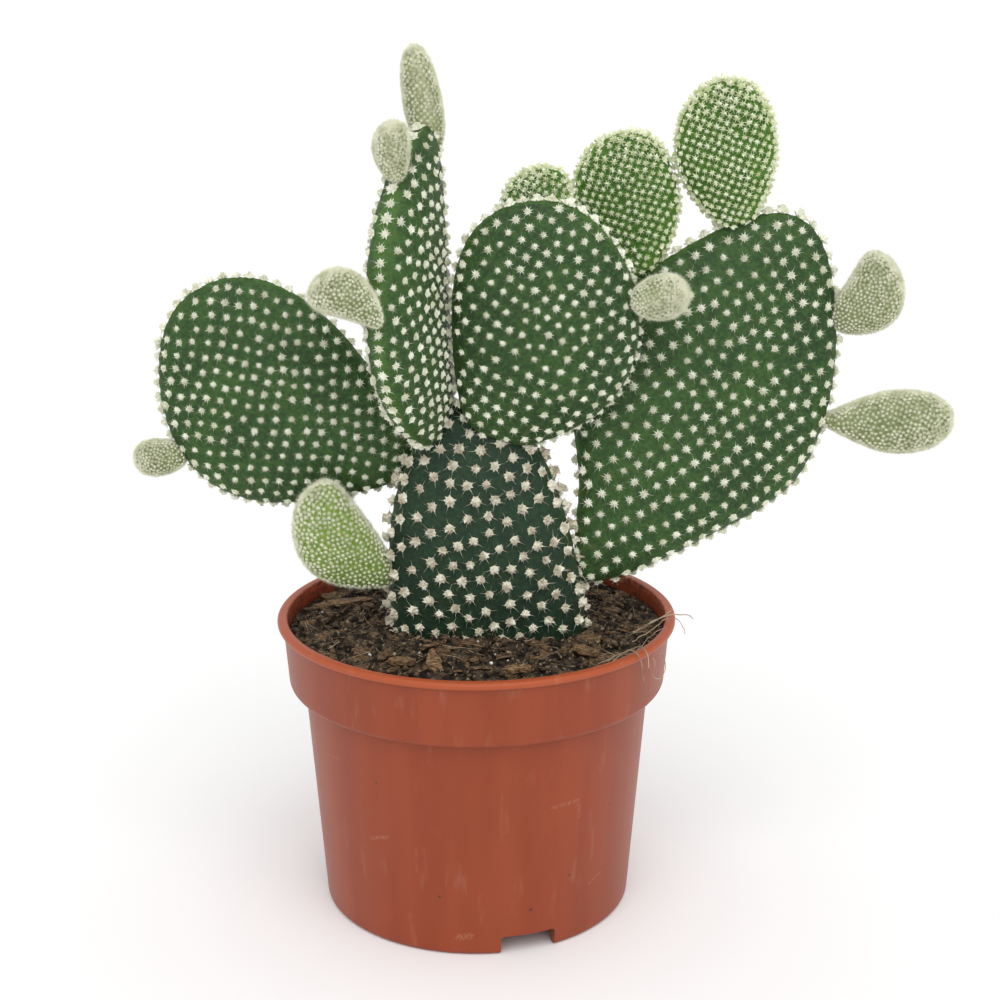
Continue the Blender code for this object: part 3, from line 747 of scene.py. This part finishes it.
def margin_sites(skin, axes, reach, spacing):
    """Areoles round the narrow edge of a pad, between its two faces."""
    middle, length, width, through = axes
    sites = []
    around = 0.0
    while around < 2 * pi:
        out = length * cos(around) + width * sin(around)
        place, normal, _, _ = skin.ray_cast(middle + out * reach[0] * 3, -out)
        if place:
            sites.append((place, normal))
            around += spacing / (place - middle).length
        else:
            around += 0.05
    return sites


def bud_sites(skin, points, axes, spacing):
    """Areoles on a bud, in the spirals that a growing tip lays down."""
    middle, length, width, through = axes
    local = points - np.array(middle)
    along = local @ np.array(length)
    lowest, highest = along.min(), along.max()
    wide = np.abs(local @ np.array(width)).max()
    deep = np.abs(local @ np.array(through)).max()
    order = np.sort(along)
    area = pi * (wide + deep) * (highest - lowest) * 0.86
    count = int(area / (spacing * spacing * 0.87))
    golden = pi * (3 - sqrt(5))
    sites = []
    for k in range(count):
        u = order[int((k + 0.5) / count * len(order))]
        near = local[np.abs(along - u) < (highest - lowest) * 0.06]
        centre = middle + Vector(near.mean(0))
        turn = k * golden + noise.noise(Vector((k * 7.3, spacing, 0))) * 0.22
        out = width * (wide * cos(turn)) + through * (deep * sin(turn))
        out = out.normalized()
        lift = (u - (lowest + highest) / 2) / (highest - lowest) * 2
        slope = length * (abs(lift) ** 6 * (1 if lift > 0 else -1) * 1.2)
        out = (out + slope).normalized()
        place, normal, _, _ = skin.ray_cast(centre + out * (highest - lowest), -out)
        if place:
            sites.append((place, normal))
    return sites


def spread_out(sites, skin, spacing, rounds):
    """Moves areoles that crowd each other apart over the skin."""
    for _ in range(rounds):
        near = kdtree.KDTree(len(sites))
        for i, (place, _) in enumerate(sites):
            near.insert(place, i)
        near.balance()
        moved = []
        for i, (place, normal) in enumerate(sites):
            push = Vector()
            for other, j, gap in near.find_range(place, spacing):
                if j != i and gap > 1e-7:
                    push += (place - other) / gap * (spacing - gap) * 0.28
            place, normal, _, _ = skin.find_nearest(place + push)
            moved.append((place, normal))
        sites = moved
    return sites


def thinned(sites, gap):
    """Drops an areole closer than gap to one already kept."""
    kept = []
    near = kdtree.KDTree(len(sites))
    for i, (place, _) in enumerate(sites):
        near.insert(place, i)
    near.balance()
    gone = set()
    for i, site in enumerate(sites):
        if i in gone:
            continue
        kept.append(site)
        gone.update(j for _, j, _ in near.find_range(site[0], gap) if j > i)
    return kept


def fill_gaps(sites, points, normals, widest):
    """Adds areoles in the middle of the widest gaps, until none is wider than widest."""
    gap = np.full(len(points), 1.0)
    for place, _ in sites:
        gap = np.minimum(gap, np.linalg.norm(points - np.array(place), axis=1))
    while gap.max() > widest:
        widest_at = int(gap.argmax())
        sites.append((Vector(points[widest_at]), Vector(normals[widest_at])))
        gap = np.minimum(gap, np.linalg.norm(points - points[widest_at], axis=1))
    return sites


def raise_areoles(mesh, points, normals, sites, spacing, relief, axes):
    """Lifts the skin under the areoles and notes how near each point is to one and how
    near to the tip and to the margin it lies."""
    near = kdtree.KDTree(len(sites))
    for i, (place, _) in enumerate(sites):
        near.insert(place, i)
    near.balance()
    middle, length, width, through = [np.array(axis) for axis in axes]
    gap = np.array([near.find(point)[2] for point in points])
    bulge = np.exp(-((gap / (spacing * 0.34)) ** 2))
    moved = points + normals * (SKIN_SWELL + relief * (bulge - 0.3))[:, None]
    mesh.vertices.foreach_set("co", moved.astype(np.float32).ravel())
    local = points - middle
    along = local @ length
    tip = (along - along.min()) / (along.max() - along.min())
    rim = 1 - np.clip(np.abs(normals @ through), 0, 1)
    for name, values in (("areole", bulge), ("tip", tip), ("rim", rim)):
        layer = mesh.attributes.new(name, "FLOAT", "POINT")
        layer.data.foreach_set("value", values.astype(np.float32))
    mesh.update()
    mesh.shade_smooth()


def skin_finish(name, deep, mid, edge, blemish, rib, gloss=0.50):
    """Waxy plant skin: deep green between the areoles, yellower near the margin and at
    each areole, with pale veins of wax, old scars and a fine pebbled grain."""
    skin = Finish(
        name, Specular_IOR_Level=0.28, Sheen_Weight=0.04, Sheen_Roughness=0.45,
        Sheen_Tint=(0.80, 0.90, 0.60, 1.0),
    )
    broad = skin.noise(0.022, 4)
    mottle = skin.noise(0.0042, 4)
    fine = skin.noise(0.0011, 3)
    colour = skin.mix(skin.mask(broad, 0.34, 0.66), deep, mid)
    rim = skin.mask(skin.attribute("rim") + (broad - 0.5) * 0.5, 0.25, 0.95)
    colour = skin.mix(rim * 0.85, colour, edge)
    colour = skin.mix(skin.mask(skin.attribute("areole"), 0.15, 0.95) * rib, colour, edge)
    colour = skin.mix(skin.mask(mottle, 0.52, 0.70) * 0.45, colour, deep)
    colour = skin.mix(skin.mask(fine, 0.42, 0.66) * 0.36, colour, edge)
    colour = skin.mix((1 - skin.mask(fine, 0.30, 0.48)) * 0.50, colour, deep)
    old = 1 - skin.mask(skin.attribute("tip"), 0.0, 0.16)
    scars = skin.mask(skin.noise(0.0030, 5), 0.55, 0.70)
    colour = skin.mix(old * scars * blemish, colour, (0.20, 0.155, 0.075))
    pebbles = skin.noise(0.00055, 3)
    relief = pebbles * 0.4 + mottle * 0.8
    skin.wear(colour, gloss + mottle * 0.16 + rim * 0.05, relief, 0.00022)
    return skin.material


SKINS = {
    "old": skin_finish(
        "old_pad_skin", (0.0065, 0.0210, 0.0115), (0.0120, 0.0360, 0.0165),
        (0.030, 0.068, 0.022), 0.60, 0.20,
    ),
    "mature": skin_finish(
        "mature_pad_skin", (0.0155, 0.0430, 0.0120), (0.0290, 0.0740, 0.0160),
        (0.0700, 0.1550, 0.0280), 0.35, 0.40,
    ),
    "fresh": skin_finish(
        "fresh_pad_skin", (0.0330, 0.1080, 0.0090), (0.0560, 0.1600, 0.0110),
        (0.1700, 0.3100, 0.0500), 0.10, 0.50,
    ),
    "shoot": skin_finish(
        "shoot_skin", (0.1150, 0.2100, 0.0220), (0.1800, 0.3000, 0.0350),
        (0.4000, 0.5000, 0.1400), 0.05, 0.60,
    ),
    "bud": skin_finish(
        "bud_skin", (0.1350, 0.1750, 0.0650), (0.2200, 0.2600, 0.1050),
        (0.4400, 0.4800, 0.2600), 0.05, 0.60,
    ),
}


def tuft(random, layers, bristles, length, thickness, fan):
    """An areole's wool and bristles, of unit size, standing along z: star-shaped locks of
    wool in finish 0, bristles in finish 1. A layer gives the number of its locks, how far
    they reach, how full it is between them, and how high its locks and its heart stand."""
    shape = bmesh.new()
    for locks, reach, heart, rise, peak in layers:
        star = bmesh.ops.create_cone(
            shape, cap_ends=True, cap_tris=True, segments=2 * locks, radius1=1, radius2=0,
            depth=1, matrix=Matrix.Rotation(random.uniform(0, pi), 4, "Z"),
        )
        rim = [point for point in star["verts"] if hypot(point.co.x, point.co.y) > 0.5]
        for i, point in enumerate(rim):
            lock = i % 2 == 0
            out = reach * random.uniform(0.72, 1.15) if lock else heart
            point.co.x *= out
            point.co.y *= out
            point.co.z = rise * random.uniform(0.4, 1.4) if lock else 0.0
        for point in star["verts"]:
            if point not in rim:
                point.co.z = peak if point.co.z > 0 else -0.12
    wool = len(shape.faces)
    for i in range(bristles):
        reach = length * random.uniform(0.65, 1.0)
        tip = fan * sqrt((i + 0.5) / bristles) + random.uniform(-0.08, 0.08)
        bmesh.ops.create_cone(
            shape, cap_ends=True, segments=3, depth=reach, radius1=thickness, radius2=0,
            matrix=Matrix.Rotation(i * 2.4 + random.uniform(-0.3, 0.3), 4, "Z")
            @ Matrix.Rotation(tip, 4, "Y")
            @ Matrix.Translation((0, 0, reach / 2)),
        )
    shape.faces.ensure_lookup_table()
    for face in shape.faces[wool:]:
        face.material_index = 1
    mesh = bpy.data.meshes.new("tuft")
    shape.to_mesh(mesh)
    shape.free()
    return mesh


def wool_finish(name, shaded, lit, roughness=0.85):
    """Matted plant hair: cream, a little darker in some areoles than in others, where a painted shaded tone
    is mixed in patches into a painted lit tone.
    """
    wool = Finish(name, Specular_IOR_Level=0.15, Sheen_Weight=0.35, Sheen_Roughness=0.6)
    tone = wool.noise(0.0030, 2)
    strands = wool.noise(0.00035, 2)
    colour = wool.mix(wool.mask(tone, 0.35, 0.62), shaded, lit)
    wool.wear(colour, roughness + strands * 0.1, strands, 0.0002)
    return wool.material


# each wool and bristle finish gets a painted shaded tone, then a painted lit tone
WOOLS = {
    "old": (
        wool_finish("old_wool", (0.50, 0.44, 0.31), (0.84, 0.81, 0.67)),
        wool_finish("old_bristle", (0.62, 0.58, 0.46), (0.85, 0.83, 0.72)),
    ),
    "mature": (
        wool_finish("mature_wool", (0.66, 0.67, 0.50), (0.87, 0.88, 0.75)),
        wool_finish("mature_bristle", (0.66, 0.70, 0.50), (0.86, 0.88, 0.74)),
    ),
    "fresh": (
        wool_finish("fresh_wool", (0.66, 0.72, 0.42), (0.88, 0.91, 0.70)),
        wool_finish("fresh_bristle", (0.68, 0.74, 0.50), (0.88, 0.91, 0.76)),
    ),
    "bud": (
        wool_finish("bud_wool", (0.66, 0.68, 0.48), (0.88, 0.88, 0.72)),
        wool_finish("bud_bristle", (0.80, 0.81, 0.68), (0.95, 0.95, 0.88)),
    ),
}
WOOLS["shoot"] = WOOLS["bud"]
random = Random(3)
TUFTS = {
    "old": [
        tuft(random, ((9, 0.54, 0.38, 0.18, 0.46), (5, 0.42, 0.24, 0.46, 0.66)), 8, 1.25, 0.034, 1.42)
        for _ in range(6)
    ],
    "mature": [
        tuft(random, ((9, 0.60, 0.31, 0.15, 0.42), (5, 0.38, 0.22, 0.38, 0.55)), 7, 1.25, 0.034, 1.40)
        for _ in range(6)
    ],
    "fresh": [
        tuft(random, ((7, 0.74, 0.24, 0.28, 0.44), (4, 0.42, 0.20, 0.52, 0.62)), 6, 1.10, 0.036, 1.25)
        for _ in range(5)
    ],
    "bud": [tuft(random, ((6, 0.54, 0.22, 0.30, 0.50),), 11, 1.30, 0.046, 1.20) for _ in range(6)],
}
TUFTS["shoot"] = TUFTS["bud"]

for node, (parent, spacing, wool_size, age, relief, voxel) in PAD_LOOKS.items():
    skin_mesh = grown_skin(node, voxel)
    points, normals = vectors(skin_mesh, "co"), vectors(skin_mesh, "normal")
    low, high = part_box(parent)
    axes = pad_axes(points, (low + high) / 2)
    reach = [np.abs((points - np.array(axes[0])) @ np.array(axis)).max() for axis in axes[1:]]
    skin = BVHTree.FromPolygons(
        [Vector(point) for point in points], [face.vertices[:] for face in skin_mesh.polygons]
    )
    if age in ("shoot", "bud"):
        sites = thinned(bud_sites(skin, points, axes, spacing), spacing * 0.5)
    else:
        sites = margin_sites(skin, axes, reach, spacing * 0.72)
        sites += face_sites(skin, axes, reach, spacing)
        sites = thinned(sites, spacing * 0.58)
    sites = fill_gaps(sites, points, normals, spacing * 0.63)
    sites = spread_out(sites, skin, spacing * 0.82, 2)
    raise_areoles(skin_mesh, points, normals, sites, spacing, relief, axes)
    add_piece(node + "_skin", skin_mesh, SKIN_SLOTS[age], [SKINS[age]], node)
    random = Random(len(sites))
    stamps, places = [], []
    for place, normal in sites:
        if place.z < SOIL_TOP - 0.004:
            continue
        share = (place - axes[0]).dot(axes[1]) / reach[0] / 2 + 0.5
        size = wool_size * random.uniform(0.84, 1.14)
        margin = 1 - abs(normal.dot(axes[3]))
        size *= 1 + 0.25 * margin
        if age == "mature":
            size *= 1 + 0.45 * margin * max(0.0, share - 0.6) / 0.4
        if age == "fresh":
            size *= 1 + 0.40 * max(0.0, share - 0.6) / 0.4
        if age in ("shoot", "bud"):
            size *= 0.8 + 0.5 * share ** 2
        upright = Vector((0, 0, 1)).rotation_difference(normal).to_matrix().to_4x4()
        turn = Matrix.Rotation(random.uniform(0, 2 * pi), 4, "Z")
        seat = Matrix.Translation(place + normal * (SKIN_SWELL + relief * 0.5))
        places.append(seat @ upright @ turn @ Matrix.Scale(size, 4))
        stamps.append(random.choice(TUFTS[age]))
    add_piece(node + "_wool", scatter(stamps, places), SKIN_SLOTS[age], WOOLS[age])


# ---- Straw over the rim -----------------------------------------------------------------
# A few dry stalks and root fibres lie on the soil and hang over the lip on one side, with
# one of them looped back on itself. They are thin, stiff and pale.

STRAW_NODES = ("straw_long", "straw_loop", "straw_short")
# each route: radius, then angle to the right of the front, beyond the rim, above the rim
STRAWS = (
    (0.00034, (44, -0.0095, -0.0036), (48, -0.0030, 0.0011), (49.5, -0.0006, 0.0012),
     (50.3, 0.0011, -0.0012), (51, 0.0012, -0.0060), (52.8, 0.0016, -0.0112)),
    (0.00020, (49, -0.0085, -0.0036), (52, -0.0030, 0.0012), (53.2, -0.0006, 0.0014),
     (53.8, 0.0012, -0.0012), (54.6, 0.0013, -0.0060), (58.2, 0.0014, -0.0091),
     (61.6, 0.0014, -0.0099), (64, 0.0014, -0.0082), (63.2, 0.0015, -0.0050),
     (60.2, 0.0013, -0.0020)),
    (0.00030, (78, -0.0125, -0.0036), (80, -0.0060, 0.0002), (82, -0.0024, 0.0014),
     (84, 0.0010, 0.0012), (86, 0.0034, 0.0000), (87, 0.0052, -0.0016)),
    (0.00020, (70, -0.0110, -0.0038), (75, -0.0066, -0.0016), (79, -0.0026, 0.0010),
     (80, 0.0006, 0.0010), (81, 0.0026, -0.0024), (82, 0.0030, -0.0044)),
    (0.00022, (80, -0.0110, -0.0036), (82, -0.0070, -0.0010), (84, -0.0020, 0.0013),
     (89, -0.0010, 0.0014)),
    (0.00014, (62, -0.0070, -0.0036), (67, -0.0036, 0.0006), (73, -0.0016, 0.0009)),
    (0.00013, (56, 0.0014, -0.0020), (57, 0.0015, -0.0046), (56, 0.0014, -0.0060)),
)


def smooth_route(stops, count):
    """Points at even steps along a Catmull-Rom curve through the stops."""
    ends = [2 * stops[0] - stops[1], *stops, 2 * stops[-1] - stops[-2]]
    route = []
    for i in range(count):
        position = i * (len(stops) - 1) / (count - 1)
        part = min(int(position), len(stops) - 2)
        t = position - part
        a, b, c, d = ends[part:part + 4]
        route.append(
            0.5 * (2 * b + (c - a) * t + (2 * a - 5 * b + 4 * c - d) * t * t
                   + (3 * b - a - 3 * c + d) * t * t * t)
        )
    return route


random = Random(8)
stalks = bpy.data.curves.new("stalks", "CURVE")
stalks.dimensions = "3D"
stalks.bevel_depth = 1.0
stalks.bevel_resolution = 1
stalks.use_fill_caps = True
for radius, *stops in STRAWS:
    places = [on_circle(RIM_RADIUS + out, angle, POT_HEIGHT + up) for angle, out, up in stops]
    route = smooth_route(places, 26)
    spline = stalks.splines.new("POLY")
    spline.points.add(len(route) - 1)
    for i, (point, place) in enumerate(zip(spline.points, route)):
        point.co = (*(place + noise.noise_vector(place * 420) * 0.0006), 1)
        point.radius = radius * (0.85 - 0.45 * i / len(route)) * random.uniform(0.85, 1.15)
passing = bpy.data.objects.new("stalks", stalks)
bpy.context.scene.collection.objects.link(passing)
evaluated = passing.evaluated_get(bpy.context.evaluated_depsgraph_get())
straw_mesh = bpy.data.meshes.new_from_object(evaluated)
bpy.data.objects.remove(passing)
straw_mesh.shade_smooth()
straw = dry_finish("dry_stalk", (0.24, 0.17, 0.10), (0.56, 0.45, 0.31))
add_piece("rim_straw", straw_mesh, "dry_straw", [straw], *STRAW_NODES)


# ---- Floor, light and camera ------------------------------------------------------------
# A plain pale floor under broad soft light, a little stronger from the front and above.

floor_shape = bmesh.new()
bmesh.ops.create_grid(floor_shape, x_segments=1, y_segments=1, size=12)
floor_mesh = bpy.data.meshes.new("floor")
floor_shape.to_mesh(floor_mesh)
floor_shape.free()
floor = bpy.data.objects.new("floor", floor_mesh)
bpy.context.scene.collection.objects.link(floor)
paper = Finish("pale_floor", Base_Color=(0.93, 0.93, 0.93, 1.0), Roughness=0.9)
floor_mesh.materials.append(paper.material)

world = bpy.data.worlds.new("studio")
world.use_nodes = True
backdrop = world.node_tree.nodes["Background"]
backdrop.inputs["Color"].default_value = (1.0, 1.0, 1.0, 1.0)
backdrop.inputs["Strength"].default_value = 0.86
bpy.context.scene.world = world
LAMPS = {
    # power, softness in degrees, turn round the plant, height above the horizon
    "key": (1.25, 60, 8, 50),
}
for name, (power, softness, turn, up) in LAMPS.items():
    lamp = bpy.data.lights.new(name, "SUN")
    lamp.energy = power
    lamp.angle = radians(softness)
    holder = bpy.data.objects.new(name, lamp)
    holder.rotation_euler = (radians(90 - up), 0, radians(turn))
    bpy.context.scene.collection.objects.link(holder)

camera = bpy.data.cameras.new("camera")
camera.sensor_width = 36
camera.lens = 71.4
camera.clip_start = 0.01
holder = bpy.data.objects.new("camera", camera)
holder.location = (0.0071, -0.5662, 0.2934)
holder.rotation_euler = (radians(90 - 16.53), 0, 0)
bpy.context.scene.collection.objects.link(holder)
bpy.context.scene.camera = holder
bpy.context.scene.view_settings.view_transform = "Standard"
